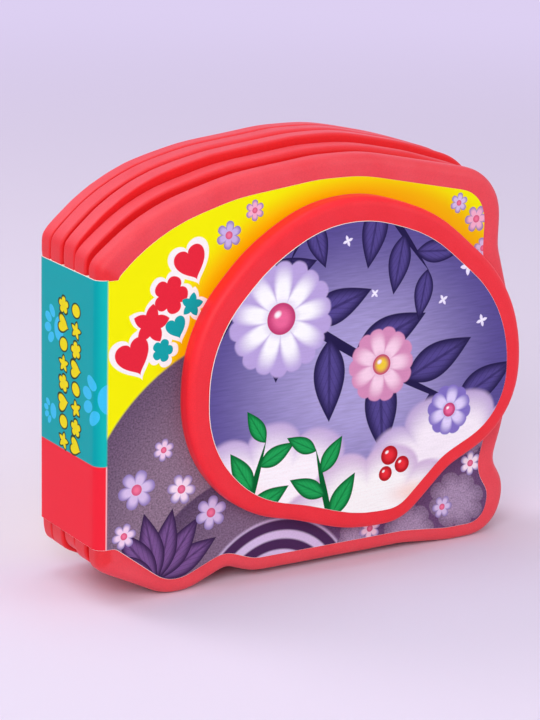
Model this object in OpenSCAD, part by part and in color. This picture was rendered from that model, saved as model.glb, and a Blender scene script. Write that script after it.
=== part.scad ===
// Foam baby book: soft foam leaves cut to one outline, with edges rounded by the hot die,
// a printed cover sheet wrapped round the spine, and a raised foam pad on the front cover.
// The book stands on its feet. The front cover faces -Y and the spine is at -X.

/* [Leaf] */
// Width of a foam leaf, from the spine edge to the bulge on the open side
leaf_w = 107.8; // [102:0.1:116]
// Height of the front cover's leaf, from the feet to the crown
leaf_h = 93.9; // [90:0.1:100]
// Thickness of the foam in one leaf
foam_t = 5; // [4.6:0.1:8]
// Radius of the soft edge of each leaf
edge_r = 2.2; // [1:0.1:2.2]
// Number of foam leaves in the page block, between the covers
page_leaves = 3; // [1:1:5]

/* [Spine edge] */
// Height at which the straight spine edge begins
spine_foot = 9; // [7:0.1:11]
// Height at which the straight spine edge ends
spine_top = 75.6; // [73:0.1:78]
// Radius of the two corners beside the spine
spine_r = 3; // [2.5:0.1:4]

/* [Crown] */
// Distance of the shoulder bend from the spine
shoulder_x = 12.5; // [10:0.1:15]
// Drop of the shoulder bend below the crown
shoulder_drop = 8.3; // [7:0.1:10]
// Distance of the rising bend from the spine
rise_x = 33; // [28:0.1:38]
// Drop of the rising bend below the crown
rise_drop = 2.4; // [1.5:0.1:3]
// Distance of the flat crown from the spine
crown_x = 54; // [50:0.1:58]
// Length of the flat crown
crown_w = 12; // [6:0.1:16]
// Radius of the long bends of the crown
crown_r = 48; // [30:1:60]

/* [Taller leaves] */
// Rise of the first inner leaf's crown above the front cover's
first_rise = 1; // [0:0.1:2]
// Rise of the crowns of the leaves behind it, the back cover's with them
rear_rise = 2.9; // [1:0.1:3.5]
// Share of a leaf's rise that its upper open corner has
corner_share = 0.95; // [0:0.05:1]
// Lift of the spine's foot on the leaves behind the first inner one
rear_lift = 1; // [0:0.1:1.5]
// Lift of the first inner leaf's shoulder beside the spine
first_shoulder = 0.9; // [0:0.1:1.5]
// Lift of that shoulder on the leaves behind it
rear_shoulder = 1.9; // [0:0.1:2.5]
// Share of that lift that the shoulder's inner bend has
shoulder_share = 0.5; // [0:0.05:1]

/* [Open side] */
// Drop of the upper open corner below the crown
corner_drop = 7.7; // [6:0.1:10]
// Distance of the upper open corner inside the widest point
corner_in = 4.3; // [3:0.1:6]
// Radius of the upper open corner
corner_r = 12; // [8:0.1:18]
// Height of the shallow neck below the upper corner
neck_z = 69.5; // [66:0.1:72]
// Distance of the neck inside the widest point
neck_in = 4.5; // [3.5:0.1:6]
// Height at which the bulge of the open side ends above
bulge_top = 54; // [50:0.1:58]
// Height at which the bulge of the open side ends below
bulge_foot = 30; // [26:0.1:34]
// Radius of the bulge's two bends
bulge_r = 32; // [15:1:45]
// Height of the waist above the open-side foot
waist_z = 18; // [17:0.1:20]
// Distance of the waist inside the widest point
waist_in = 3.3; // [2.5:0.1:5]
// Radius of the waist and of the neck
waist_r = 4; // [1:0.1:6]

/* [Feet] */
// Height of the widest part of the open-side foot
foot_z = 12.3; // [11:0.1:14]
// Reach of the open-side foot's corner past the widest point, before it is rounded
foot_out = 0.7; // [0:0.1:2]
// Distance of the toe of the open-side foot inside the widest point
toe_in = 1.7; // [0:0.1:4]
// Radius of the toe
toe_r = 9; // [4:0.1:10]
// Distance of the open-side foot's sole from the widest point
sole_in = 15.8; // [13:0.1:18]
// Clearance under the straight belly
belly_z = 1.3; // [0.5:0.1:2.5]
// Distance of the belly's open end from the widest point
belly_in = 27.8; // [24:0.1:32]
// Distance of the belly's spine end from the spine
belly_x = 39.5; // [38:0.1:44]
// Distance of the arch beside the spine-side foot from the spine
arch_x = 32.6; // [30:0.1:34]
// Height of the arch
arch_z = 3.9; // [3:0.1:5]
// Radius of the arch
arch_r = 2.5; // [1:0.1:4]
// Distance of the spine-side foot's sole from the spine
heel_x = 16.5; // [14:0.1:18]
// Length of that sole
heel_w = 6.5; // [4:0.1:8]
// Radius of the gentle bends round the feet and belly
foot_r = 12; // [6:0.1:16]

/* [Printed sheets] */
// Thickness of the laminated paper
sheet_t = 0.25; // [0.15:0.05:0.4]
// Foam left bare round a printed sheet on a leaf
leaf_border = 4.2; // [3.5:0.1:5]
// Distance that the sheets sit towards the spine
print_back = 1.1; // [0:0.1:1.5]
// Distance that the sheets sit below the middle
print_down = 0.6; // [0:0.1:0.8]
// Height at which the sheet round the spine begins
wrap_foot = 13; // [12:0.1:15]
// Height of the sheet round the spine
wrap_h = 59.2; // [50:0.1:60]
// Distance from the spine at which a sheet widens from the strip beside the spine
join_x = 4.5; // [4:0.1:6]
// Radius of the relief cut where the wrap meets the cover's face
relief_r = 1.2; // [0.5:0.1:1.4]
// Smallest radius of a sheet's rounded bends
sheet_r = 0.5; // [0.3:0.1:1]

/* [Hinges] */
// Air between a closed cover and the page block
cover_gap = 0.25; // [0.15:0.05:0.5]

/* [Raised pad] */
// Thickness of the pad's foam
pad_t = 4.25; // [3:0.05:4.6]
// Radius of the pad's soft front edge
pad_edge_r = 2; // [1:0.1:2.4]
// Foam left bare round the pad's sheet
pad_border = 4.6; // [3.5:0.1:5.5]
// Distance of the pad from the spine
pad_x = 19.6; // [17:0.1:22]
// Height of the pad's lowest point
pad_foot = 8.6; // [8:0.1:11]
// Drop of the pad's top below the crown
pad_drop = 8.6; // [7:0.1:10]
// Distance of the pad inside the open side's widest point
pad_in = 0.1; // [0:0.1:3]
// Radius of the pad's large bends
pad_r = 40; // [24:1:50]
// Height at which the pad's spine side ends, below the pad's top
pad_side_drop = 25.8; // [23:0.1:28]
// Distance of the bend above the spine side from that side
pad_upper_x = 15.8; // [14:0.1:18]
// Drop of that bend below the pad's top
pad_upper_drop = 9.1; // [8:0.1:11]
// Distance of the pad's flat top from its spine side
pad_flat_x = 31.4; // [29:0.1:34]
// Length of the pad's flat top
pad_flat_w = 15; // [10:0.1:18]
// Distance of the upper open bend inside the pad's open side
pad_bend_in = 25; // [22:0.1:28]
// Drop of the upper open bend below the pad's top
pad_bend_drop = 5.2; // [4:0.1:6.5]
// Height of the open side's upper end above the pad's foot
pad_open_top = 50.4; // [48:0.1:53]
// Height of the open side's lower end above the pad's foot
pad_open_foot = 20; // [18:0.1:23]
// Radius of that lower end
pad_open_r = 24; // [14:1:40]
// Distance of the hollow under the open side inside that side
pad_hollow_in = 19; // [17:0.1:21]
// Height of that hollow above the pad's foot
pad_hollow_z = 11.4; // [10:0.1:13]
// Distance of the pad's flat base from its spine side
pad_base_x = 42.9; // [40:0.1:46]
// Length of the flat base
pad_base_w = 13.7; // [10:0.1:16]
// Radius of the base's open end and of the hollow beside it
pad_base_r = 12; // [6:0.1:14]
// Distance of the first bend beside the base from the pad's spine side
pad_turn_x = 28.4; // [26:0.1:31]
// Height of that first bend above the pad's foot
pad_turn_z = 4.7; // [4:0.1:6]
// Distance of the lower spine-side bend from that side
pad_lower_x = 13.6; // [12:0.1:15]
// Height of that bend above the pad's foot
pad_lower_z = 8.2; // [7.5:0.1:9.5]
// Height of the spine side's lower end above the pad's foot
pad_side_foot = 24.4; // [22:0.1:27]

/* [Hidden] */

// Largest distance between a rounded bend and the straight pieces that draw it
bend_gap = 0.05;
// Straight pieces across each rounded edge
edge_steps = 4;
// Share of an edge of the outline that its two bends may use
bend_share = 0.96;
// Turn below which a bend is left as a plain corner, in degrees
least_turn = 0.5;
// Sides of each full circle
circle_sides = 96;
// Extra length of a cutting solid past the sheet that it cuts
cut_over = 1;

red = "#F5404E";
yellow = "#F5EC0A";
teal = "#00A8B2";
lilac = "#8C7EB4";
cream = "#F4F0EC";

// Depths across the closed book, measured from the front cover's outer face
cover_t = foam_t + 2 * sheet_t;
leaf_pitch = foam_t + 2 * sheet_t;
pages_y = cover_t + cover_gap;
pages_t = page_leaves * leaf_pitch;
book_t = 2 * pages_y + pages_t;
pad_stack = pad_t + sheet_t;
wrap_r = edge_r + sheet_t;

// Each leaf is [rise of its crown, lift of its spine's foot, lift of its shoulder], over the front leaf
front_leaf = [0, 0, 0];
first_leaf = [first_rise, 0, first_shoulder];
rear_leaf = [rear_rise, rear_lift, rear_shoulder];
block_leaves = [for (i = [0:page_leaves - 1]) i == 0 ? first_leaf : rear_leaf];

// Outline of a leaf as [distance from the spine, height, radius], clockwise from the spine's foot
function leaf_bends(leaf) = let (rise = leaf[0], foot_lift = leaf[1], shoulder_lift = leaf[2]) [
    [0, spine_foot + foot_lift, spine_r],
    [0, spine_top + shoulder_lift, spine_r],
    [shoulder_x, leaf_h + rise - shoulder_drop + shoulder_share * shoulder_lift, crown_r],
    [rise_x, leaf_h + rise - rise_drop, crown_r],
    [crown_x, leaf_h + rise, crown_r],
    [crown_x + crown_w, leaf_h + rise, crown_r],
    [leaf_w - corner_in, leaf_h + corner_share * rise - corner_drop, corner_r],
    [leaf_w - neck_in, neck_z, waist_r],
    [leaf_w, bulge_top, bulge_r],
    [leaf_w, bulge_foot, bulge_r],
    [leaf_w - waist_in, waist_z, waist_r],
    [leaf_w + foot_out, foot_z, toe_r],
    [leaf_w - toe_in, 0, toe_r],
    [leaf_w - sole_in, 0, foot_r],
    [leaf_w - belly_in, belly_z, foot_r],
    [belly_x, belly_z, foot_r],
    [arch_x, arch_z, arch_r],
    [heel_x + heel_w, 0, foot_r],
    [heel_x, 0, foot_r],
];

// Outline of the raised pad, in the same form, clockwise from the lower end of its spine side
pad_right = leaf_w - pad_in;
pad_top = leaf_h - pad_drop;
pad_bends = [
    [pad_x, pad_foot + pad_side_foot, pad_r],
    [pad_x, pad_top - pad_side_drop, pad_r],
    [pad_x + pad_upper_x, pad_top - pad_upper_drop, pad_r],
    [pad_x + pad_flat_x, pad_top, pad_r],
    [pad_x + pad_flat_x + pad_flat_w, pad_top, pad_r],
    [pad_right - pad_bend_in, pad_top - pad_bend_drop, pad_r],
    [pad_right, pad_foot + pad_open_top, pad_r],
    [pad_right, pad_foot + pad_open_foot, pad_open_r],
    [pad_right - pad_hollow_in, pad_foot + pad_hollow_z, pad_base_r],
    [pad_x + pad_base_x + pad_base_w, pad_foot, pad_base_r],
    [pad_x + pad_base_x, pad_foot, pad_r],
    [pad_x + pad_turn_x, pad_foot + pad_turn_z, pad_r],
    [pad_x + pad_lower_x, pad_foot + pad_lower_z, pad_r],
];

// Geometry of an outline that runs clockwise and is given by its sharp corners
function wrap_i(o, i) = (i + len(o)) % len(o);
function corner(o, i) = [o[wrap_i(o, i)][0], o[wrap_i(o, i)][1]];
function edge(o, i) = corner(o, i + 1) - corner(o, i);
function heading(o, i) = edge(o, i) / norm(edge(o, i));
function left_of(v) = [-v[1], v[0]];
function cross_of(u, v) = u[0] * v[1] - u[1] * v[0];
function half_turn(o, i) = acos(max(-1, min(1, heading(o, i - 1) * heading(o, i)))) / 2;
function turn_side(o, i) = sign(cross_of(heading(o, i - 1), heading(o, i)));
function is_plain(o, i) = o[wrap_i(o, i)][2] == 0 || 2 * half_turn(o, i) < least_turn;
function turned(v, a) = [v[0] * cos(a) - v[1] * sin(a), v[0] * sin(a) + v[1] * cos(a)];

// Length of the edges that a bend uses on each side, cut down where two bends would meet
function asked_reach(o, i) = is_plain(o, i) ? 0 : o[wrap_i(o, i)][2] * tan(half_turn(o, i));
function edge_share(o, i) =
    min(1, bend_share * norm(edge(o, i)) / max(asked_reach(o, i) + asked_reach(o, i + 1), bend_gap));
function bend_reach(o, i) = asked_reach(o, i) * min(edge_share(o, i - 1), edge_share(o, i));

// Straight pieces in each bend, counted on the full outline so that every inset has as many
function bend_steps(o) = [for (i = [0:len(o) - 1]) is_plain(o, i) ? 0
    : max(2, ceil(half_turn(o, i) / acos(1 - bend_gap / max(o[i][2], 4 * bend_gap))))];

// The points of a bend, as many as its steps ask, also where this outline hardly turns there
function bend_points(o, i, steps) =
    steps == 0 ? [corner(o, i)] :
    is_plain(o, i) ? [for (k = [0:steps]) corner(o, i) + heading(o, i) * bend_gap * (k / steps - 1 / 2)] :
    let (
        u = heading(o, i - 1),
        w = heading(o, i),
        h = half_turn(o, i),
        reach = bend_reach(o, i),
        centre = corner(o, i) + (w - u) / norm(w - u) * reach / sin(h),
        spoke = corner(o, i) - u * reach - centre,
        turn = 2 * h * turn_side(o, i)
    )
    [for (k = [0:steps]) centre + turned(spoke, turn * k / steps)];

function rounded(o, steps) = [for (i = [0:len(o) - 1]) each bend_points(o, i, steps[i])];

// The same outline a distance inside itself, with outer bends tighter and hollows wider
function inset(o, d, least_r) = [for (i = [0:len(o) - 1]) let (
        a = left_of(heading(o, i - 1)),
        b = left_of(heading(o, i)),
        p = corner(o, i) - d * (a + b) / (1 + a * b))
    [p[0], p[1], max(least_r, o[i][2] + d * turn_side(o, i))]];

leaf_steps = bend_steps(leaf_bends(front_leaf));
pad_steps = bend_steps(pad_bends);
leaf_points = rounded(leaf_bends(front_leaf), leaf_steps);
foam_w = max([for (p = leaf_points) p[0]]);
book_w = sheet_t + foam_w;

// Outline of a sheet on a leaf's face: a strip beside the spine, then the leaf's outline, inset
wrap_top = wrap_foot + wrap_h;
function face_bends(from_x, leaf) = let (bends = inset(leaf_bends(leaf), leaf_border, sheet_r)) concat(
    [[from_x, wrap_foot, 0], [from_x, wrap_top, 0], [join_x, wrap_top, 0]],
    [for (i = [2:len(bends) - 1]) bends[i] + [sheet_t - print_back, -print_down, 0]],
    [[join_x, wrap_foot, 0]]);

pad_inset = inset(pad_bends, pad_border, sheet_r);
pad_sheet_bends = [for (b = pad_inset) b + [sheet_t, -print_down, 0]];

// A rounded edge as [depth, inset] pairs, from the face to the side wall or back to the face
function edge_in(y, r) = [for (k = [0:edge_steps]) let (a = 90 * k / edge_steps)
    [y + r * (1 - cos(a)), r * (1 - sin(a))]];
function edge_out(y, r) = [for (k = [0:edge_steps]) let (a = 90 * k / edge_steps)
    [y - r * (1 - sin(a)), r * (1 - cos(a))]];

// The ring of points of an outline at each of its levels of depth
function ring(bends, steps, level) =
    [for (p = rounded(inset(bends, level[1], bend_gap), steps)) [p[0], level[0], p[1]]];
function rings(bends, steps, levels) = [for (l = levels) ring(bends, steps, l)];
function leaf_rings(y, leaf) =
    rings(leaf_bends(leaf), leaf_steps, concat(edge_in(y, edge_r), edge_out(y + foam_t, edge_r)));

// One closed solid through rings that have as many points each
module foam_solid(rings) {
    n = len(rings[0]);
    last = len(rings) - 1;
    walls = [for (j = [0:last - 1], i = [0:n - 1]) let (k = (i + 1) % n)
        [j * n + i, (j + 1) * n + i, (j + 1) * n + k, j * n + k]];
    front = [for (i = [0:n - 1]) i];
    back = [for (i = [0:n - 1]) last * n + n - 1 - i];
    polyhedron([for (r = rings) each r], concat([front, back], walls), convexity = 8);
}

module foam_leaves(y, leaves)
    translate([sheet_t, 0, 0])
        foam_solid([for (i = [0:len(leaves) - 1]) each leaf_rings(y + i * leaf_pitch, leaves[i])]);

// Stands a flat drawing up in the plane of the covers, with its front at depth y
module upright(y, t) translate([0, y + t, 0]) rotate([90, 0, 0]) linear_extrude(t) children();

module flat_sheet(bends, y) upright(y, sheet_t) polygon(rounded(bends, bend_steps(bends)));

// The cover sheet from a cover's face round the rounded corner to the gutter
module cover_wrap(leaf) {
    difference() {
        flat_sheet(face_bends(wrap_r, leaf), 0);
        translate([wrap_r + relief_r, 0, wrap_top]) rotate([90, 0, 0])
            cylinder(h = 2 * (sheet_t + cut_over), r = relief_r, center = true, $fn = circle_sides);
    }
    translate([0, 0, wrap_foot]) linear_extrude(wrap_h) {
        difference() {
            translate([wrap_r, wrap_r]) circle(r = wrap_r, $fn = circle_sides);
            translate([wrap_r, wrap_r]) circle(r = edge_r, $fn = circle_sides);
            translate([wrap_r, -cut_over]) square([2 * wrap_r, 2 * wrap_r + 2 * cut_over]);
            translate([-cut_over, wrap_r]) square([2 * wrap_r + 2 * cut_over, 2 * wrap_r]);
        }
        translate([0, wrap_r]) square([sheet_t, cover_t - wrap_r]);
    }
}

module mirrored_in_depth() translate([0, book_t, 0]) mirror([0, 1, 0]) children();

// Puts the book's middle over the origin
module place() translate([-book_w / 2, (pad_stack - book_t) / 2, 0]) children();

// Foam of the front cover
module front_cover_board() color(red) place() foam_leaves(sheet_t, [front_leaf]);

// The inner foam leaves with the spreads glued between them, one closed block
module page_block() color(red) place() foam_leaves(pages_y + sheet_t, block_leaves);

// Foam of the back cover
module back_cover_board() color(red) place() mirrored_in_depth() foam_leaves(sheet_t, [rear_leaf]);

// Raised foam pad, with its front edge rounded and its back glued flat to the front cover
module raised_pad()
    color(red) place() translate([sheet_t, 0, 0])
        foam_solid(rings(pad_bends, pad_steps, concat(edge_in(-pad_t, pad_edge_r), [[0, 0]])));

// Printed sheet on the pad
module pad_sheet()
    color(lilac) place() flat_sheet(pad_sheet_bends, -pad_stack);

// The printed cover sheet: front, spine and back are one sheet, creased at the two gutters
module front_wrap_sheet() color(yellow) place() cover_wrap(front_leaf);
module spine_wrap_sheet()
    color(teal) place() translate([0, pages_y, wrap_foot]) cube([sheet_t, pages_t, wrap_h]);
module back_wrap_sheet() color(yellow) place() mirrored_in_depth() cover_wrap(rear_leaf);

// The first and last spreads: each is one sheet, creased at the gutter beside a cover
module lining_sheet(leaf) flat_sheet(face_bends(sheet_t, leaf), cover_t - sheet_t);
module page_sheet(leaf) flat_sheet(face_bends(sheet_t, leaf), pages_y);
module front_lining_sheet() color(cream) place() lining_sheet(front_leaf);
module first_page_sheet() color(cream) place() page_sheet(block_leaves[0]);
module last_page_sheet() color(cream) place() mirrored_in_depth() page_sheet(block_leaves[page_leaves - 1]);
module back_lining_sheet() color(cream) place() mirrored_in_depth() lining_sheet(rear_leaf);

front_cover_board();
page_block();
back_cover_board();
raised_pad();
pad_sheet();
front_wrap_sheet();
spine_wrap_sheet();
back_wrap_sheet();
front_lining_sheet();
first_page_sheet();
last_page_sheet();
back_lining_sheet();
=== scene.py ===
from math import cos, inf, pi, radians, sin

import bmesh
import bpy
import numpy as np
from mathutils import Matrix, Vector, noise


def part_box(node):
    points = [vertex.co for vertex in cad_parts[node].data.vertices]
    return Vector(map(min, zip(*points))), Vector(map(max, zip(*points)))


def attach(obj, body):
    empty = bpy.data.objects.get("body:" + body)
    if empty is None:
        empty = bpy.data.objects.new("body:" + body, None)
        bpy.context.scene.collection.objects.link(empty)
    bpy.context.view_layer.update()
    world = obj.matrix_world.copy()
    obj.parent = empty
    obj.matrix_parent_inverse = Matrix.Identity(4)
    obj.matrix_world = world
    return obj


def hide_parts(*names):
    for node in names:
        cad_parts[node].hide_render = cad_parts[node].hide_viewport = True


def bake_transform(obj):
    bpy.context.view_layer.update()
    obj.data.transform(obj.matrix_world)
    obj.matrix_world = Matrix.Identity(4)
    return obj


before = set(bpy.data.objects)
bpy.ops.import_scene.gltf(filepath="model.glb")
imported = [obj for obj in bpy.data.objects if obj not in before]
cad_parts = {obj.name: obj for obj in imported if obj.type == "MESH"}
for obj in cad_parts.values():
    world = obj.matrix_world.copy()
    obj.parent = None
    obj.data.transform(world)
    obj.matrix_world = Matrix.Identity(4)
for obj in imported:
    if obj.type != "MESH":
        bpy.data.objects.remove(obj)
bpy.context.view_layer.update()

mm = 0.001
scene = bpy.context.scene


# Helpers

def report(text):
    print("baby book:", text)


def colour(hexCode):  # sRGB hex to linear
    parts = [int(hexCode[i:i + 2], 16) / 255 for i in (1, 3, 5)]
    return [c / 12.92 if c <= 0.04045 else ((c + 0.055) / 1.055) ** 2.4 for c in parts] + [1.0]


def addNode(tree, kind, inputs=(), **settings):
    node = tree.nodes.new(kind if kind.startswith("Node") else "ShaderNode" + kind)
    for name, value in settings.items():
        setattr(node, name, value)
    pairs = inputs.items() if isinstance(inputs, dict) else enumerate(inputs)
    for key, value in pairs:
        if isinstance(value, bpy.types.Node):
            value = value.outputs[0]
        if isinstance(value, bpy.types.NodeSocket):
            tree.links.new(value, node.inputs[key])
        elif value is not None:
            node.inputs[key].default_value = value
    return node


def newMaterial(name):
    material = bpy.data.materials.new(name)
    material.use_nodes = True
    material.node_tree.nodes.clear()
    return material, material.node_tree


def ramp(values, start, end):  # 0 at the start and 1 at the end
    return np.clip((values - start) / (end - start), 0, 1)


def addPiece(name, data, materials=()):
    piece = bpy.data.objects.new(name, data)
    scene.collection.objects.link(piece)
    for material in materials:
        data.materials.append(material)
    return piece


# Camera, fitted to the spine's edges and the front cover's edges

camera = {
    "place": (-288.61, -455.59, 195.06),  # mm
    "yaw": -31.94,
    "pitch": 15.48,
    "roll": 1.4,
    "lens": 125,
    "sensor": 36,
}


def addCamera():
    yaw, pitch, roll = (radians(camera[key]) for key in ("yaw", "pitch", "roll"))
    back = Vector((sin(yaw) * cos(pitch), -cos(yaw) * cos(pitch), sin(pitch)))
    right = Vector((0, 0, 1)).cross(back).normalized()
    up = back.cross(right)
    rolledRight = cos(roll) * right + sin(roll) * up
    rolledUp = cos(roll) * up - sin(roll) * right
    data = bpy.data.cameras.new("camera")
    data.lens = camera["lens"]
    data.sensor_width = camera["sensor"]
    data.clip_start = 0.01
    eye = addPiece("camera", data)
    turn = Matrix((rolledRight, rolledUp, back)).transposed().to_4x4()
    eye.matrix_world = Matrix.Translation(Vector(camera["place"]) * mm) @ turn
    scene.camera = eye
    report("camera placed")


addCamera()


# Floor, lamps and world

studio = {
    "floor": "#E8DFF5",
    "floorReach": 6.0,  # m
    "backdrop": "#DDD0F2",
    "fade": (0.22, 0.95),  # distances over which the floor runs into the backdrop, m
    "world": "#FFFFFF",
    "worldStrength": 0.32,
    "target": (0, 0, 0.045),
    "lamps": (  # name, place and width in m, power in W, tint
        ("key", (-0.72, -0.78, 0.66), 0.7, 7.3, "#FFFFFF"),
        ("fill", (0.85, -0.8, 0.45), 0.9, 3.0, "#FFFFFF"),
        ("top", (-0.1, 0.1, 1.1), 0.8, 3.4, "#FFFFFF"),
        ("rim", (-0.5, 0.75, 0.9), 0.6, 3.6, "#FFF0F4"),
    ),
}


def addLamp(name, place, size, power, tint):
    data = bpy.data.lights.new(name, "AREA")
    data.shape = "DISK"
    data.size = size
    data.energy = power
    data.color = colour(tint)[:3]
    lamp = addPiece(name, data)
    away = (Vector(place) - Vector(studio["target"])).normalized()
    lamp.matrix_world = Matrix.Translation(place) @ away.to_track_quat("Z", "Y").to_matrix().to_4x4()


def seenOrMirrored(tree):  # 1 for what the camera or a gloss sees, 0 for what only lights the book
    path = addNode(tree, "LightPath")
    return addNode(tree, "Math", (path.outputs["Is Camera Ray"], path.outputs["Is Glossy Ray"]),
                   operation="MAXIMUM")


def addWorld():
    world = bpy.data.worlds.new("studio")
    world.use_nodes = True
    tree = world.node_tree
    tree.nodes.clear()
    light = addNode(tree, "Background", (colour(studio["world"]), studio["worldStrength"]))
    backdrop = addNode(tree, "Background", (colour(studio["backdrop"]), 1.0))
    mixed = addNode(tree, "MixShader", (seenOrMirrored(tree), light, backdrop))
    addNode(tree, "OutputWorld", (mixed,))
    scene.world = world


def addFloor():
    floorMaterial, tree = newMaterial("studio floor paper")
    shader = addNode(tree, "BsdfPrincipled", {"Base Color": colour(studio["floor"]), "Roughness": 0.85})
    place = addNode(tree, "TexCoord").outputs["Object"]
    away = addNode(tree, "VectorMath", (place,), operation="LENGTH").outputs["Value"]
    far = addNode(tree, "MapRange", (away, *studio["fade"]), interpolation_type="SMOOTHSTEP")
    seen = addNode(tree, "Math", (seenOrMirrored(tree), far), operation="MULTIPLY")
    glow = addNode(tree, "Emission", (colour(studio["backdrop"]), 1.0))
    shader = addNode(tree, "MixShader", (seen, shader, glow))
    addNode(tree, "OutputMaterial", (shader,))
    mesh = bpy.data.meshes.new("studio_floor")
    reach = studio["floorReach"]
    mesh.from_pydata([(-reach, -reach, 0), (reach, -reach, 0), (reach, reach, 0), (-reach, reach, 0)],
                     [], [(0, 1, 2, 3)])
    addPiece("studio_floor", mesh, [floorMaterial])


def addStudio():
    addWorld()
    addFloor()
    for lamp in studio["lamps"]:
        addLamp(*lamp)
    scene.view_settings.view_transform = "Standard"
    report("studio ready")


addStudio()


# Places that the foam and the paper share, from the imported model

halfWidth = -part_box("spine_wrap_sheet")[0].x  # the wrap's spine face lies at -halfWidth
wrapFoot, wrapTop = (corner.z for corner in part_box("spine_wrap_sheet"))
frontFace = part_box("front_wrap_sheet")[0].y
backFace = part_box("back_wrap_sheet")[1].y


# Foam leaves and pad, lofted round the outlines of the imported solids

foam = {
    "rounding": 2.2,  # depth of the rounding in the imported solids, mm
    # an edge's radius, how far its face lies back, the share of the radius left at the spine, and how
    # much painted shade it has at its face and on its wall: a deeper red in place of the groove's shade
    "outer": (2.2, -0.15, 1.0, 0, 0),  # round a cover's face, where the foam swells round the paper
    "open": (1.4, 0.3, 0.45, 1, 0),  # at a gap that stands open
    "tight": (0.8, -0.15, 0.5, 1, 0),  # where two leaves touch
    # the pad's wall takes the painted red in full: a brighter red in place of the light on its side
    "padFace": (2.0, 0, 1.0, 0, 1),
    "square": (0, 0, 1.0, 1, 1),
    "spineReach": (8, 40),  # distances from the spine between which the radius grows
    "rim": 4.2,  # width of the set-back rim at an open gap
    "rimStep": 0.6,
    "rimSoften": 4,  # passes that round the rim at each step
    "tuck": 0.2,  # how far the spine ends lie back below the wrap
    "tuckReach": 4.0,
    "underWrap": (0.4, -0.4),  # heights from the wrap's foot over which they go under it
    "swell": 0.22,  # how far they swell past their sides above it
    "swellReach": 1.0,
    "overWrap": (-0.2, 1.0),  # heights from the wrap's top over which they swell
    "slope": 13.0,  # length of the slope from the spine to the first foot
    "slopeDepth": 3.0,
    "crown": (80, 100),  # distances from the spine between which the crown falls
    "corner": (62, 84),  # heights of its far corner
    # how far the slope hangs lower at the spine and the crown at its far corner: two covers, then leaves
    "hang": ((0.6, 0), (1.5, 1.2), (0, 1.4), (0, 1.5), (1.5, 1.2)),
    "endShadeShare": 0.8,  # share of the painted shade, a deeper red, at the cut ends beside the spine
    "thickness": 5.0,
    "step": 0.5,  # spacing of points round an outline
    "soften": 6,  # passes that round the outline's straight pieces
    "edgeSteps": 9,
    "uneven": 0.07,  # height of the hand-cut unevenness
    "unevenScale": 9.0,
    "unevenInward": 0.6,  # share of it that lies inwards
    "unevenShift": (7.3, 3.1, 5.7),  # sets one leaf's unevenness apart from the next
    "leastRadius": 0.01,  # of an edge that isn't rounded
    "support": 0.5,  # distance from a rounding to the ring that keeps its side flat
}

weld = 0.001 * mm  # points nearer than this are one


def mergedCopy(node):
    mesh = bmesh.new()
    mesh.from_mesh(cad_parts[node].data)
    bmesh.ops.remove_doubles(mesh, verts=mesh.verts, dist=weld)
    return mesh


def widestRings(node):  # the outline at the widest level of each leaf, as (depth, points)
    mesh = mergedCopy(node)
    levels = {}
    for vertex in mesh.verts:
        levels.setdefault(round(vertex.co.y, 6), []).append(vertex)
    spans = {y: max(v.co.x for v in ring) - min(v.co.x for v in ring) for y, ring in levels.items()}
    widest = max(spans.values())
    rings = []
    for y in sorted(levels):
        if spans[y] > widest - 2 * weld:
            rings.append((y, walkRing(levels[y])))
    mesh.free()
    return rings


def clockwise(points):
    x, z = points.T
    area = np.sum(x * np.roll(z, -1) - np.roll(x, -1) * z)
    return points if area < 0 else points[::-1]


def walkRing(ring):
    members = set(ring)
    path = [ring[0]]
    last = None
    while True:
        here = path[-1]
        ways = [e.other_vert(here) for e in here.link_edges]
        onward = [v for v in ways
                  if v in members and v is not last and (v is not path[0] or len(path) > 2)]
        last = here
        if not onward or onward[0] is path[0] or path[0] in onward:
            break
        path.append(onward[0])
    return clockwise(np.array([(v.co.x, v.co.z) for v in path]))


def smoothed(points):
    return (np.roll(points, 1, 0) + 2 * points + np.roll(points, -1, 0)) / 4


def evenOutline(points, step, passes, closed=True):
    if closed:
        points = np.vstack([points, points[:1]])
    run = np.concatenate([[0], np.cumsum(np.linalg.norm(np.diff(points, axis=0), axis=1))])
    count = max(8, int(run[-1] / step))
    at = np.linspace(0, run[-1], count, endpoint=not closed)
    even = np.column_stack([np.interp(at, run, points[:, k]) for k in (0, 1)])
    for _ in range(passes):
        soft = smoothed(even)
        if not closed:
            soft[[0, -1]] = even[[0, -1]]
        even = soft
    return even


def inwardFrom(points):  # unit steps into a clockwise outline
    along = np.roll(points, -1, 0) - np.roll(points, 1, 0)
    along /= np.linalg.norm(along, axis=1)[:, None]
    return np.column_stack([along[:, 1], -along[:, 0]])


def faceOutward(mesh, outward=None, shown=0):  # the shown face, and with it all the others
    work = bmesh.new()
    work.from_mesh(mesh)
    bmesh.ops.recalc_face_normals(work, faces=work.faces)
    work.faces.ensure_lookup_table()
    if outward and work.faces[shown].normal.dot(outward) < 0:
        bmesh.ops.reverse_faces(work, faces=work.faces)
    for face in work.faces:
        face.smooth = True
    work.to_mesh(mesh)
    work.free()


def loftMesh(name, rings, shadeShares):  # rings of equal count, each with its shares of the painted groove shade
    count = len(rings[0])
    points = np.vstack(rings)
    faces = [tuple(range(count)), tuple(reversed(range(len(points) - count, len(points))))]
    for j in range(len(rings) - 1):
        for i in range(count):
            k = (i + 1) % count
            faces.append((j * count + i, (j + 1) * count + i, (j + 1) * count + k, j * count + k))
    mesh = bpy.data.meshes.new(name)
    mesh.from_pydata(points.tolist(), [], faces)
    faceOutward(mesh)
    layer = mesh.attributes.new("paintedShading", "FLOAT", "POINT")
    layer.data.foreach_set("value", np.concatenate(shadeShares))
    return mesh


def unevenness(point, seed):
    where = Vector(point) / (foam["unevenScale"] * mm) + Vector(foam["unevenShift"]) * seed
    return noise.noise(where) * foam["uneven"] * mm


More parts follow.
